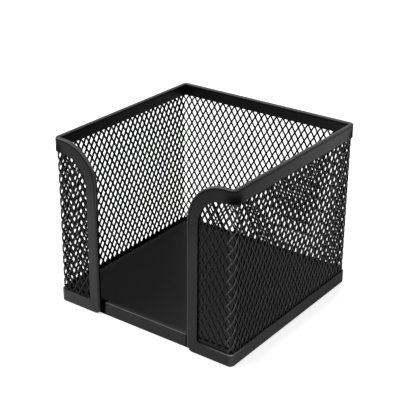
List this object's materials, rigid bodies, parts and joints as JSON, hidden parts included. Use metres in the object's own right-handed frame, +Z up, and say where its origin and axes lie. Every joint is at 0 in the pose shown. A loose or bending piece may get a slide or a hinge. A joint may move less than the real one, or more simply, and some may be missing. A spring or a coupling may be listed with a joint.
{
  "type": "mesh note box",
  "caption": "Open-fronted desk box for loose note paper, with expanded-metal walls, a folded steel edge and a sheet-steel floor.",
  "frame": {"origin": "on the desk, under the middle of the box", "axes": "+X along the open front to the right as seen from the front, +Y from the open front to the back wall, +Z up"},
  "size_m": [0.102, 0.101, 0.086],
  "materials": {
    "mesh_coating": "fine matt black powder coat on expanded steel",
    "edge_coating": "fine matt black powder coat on folded steel strip",
    "tray_coating": "fine matt black powder coat on sheet steel"
  },
  "bodies": {
    "root": {"mesh_wall": "mesh_coating", "top_rim": "edge_coating", "bottom_rim": "edge_coating", "base_tray": "tray_coating"}
  },
  "joints": []
}
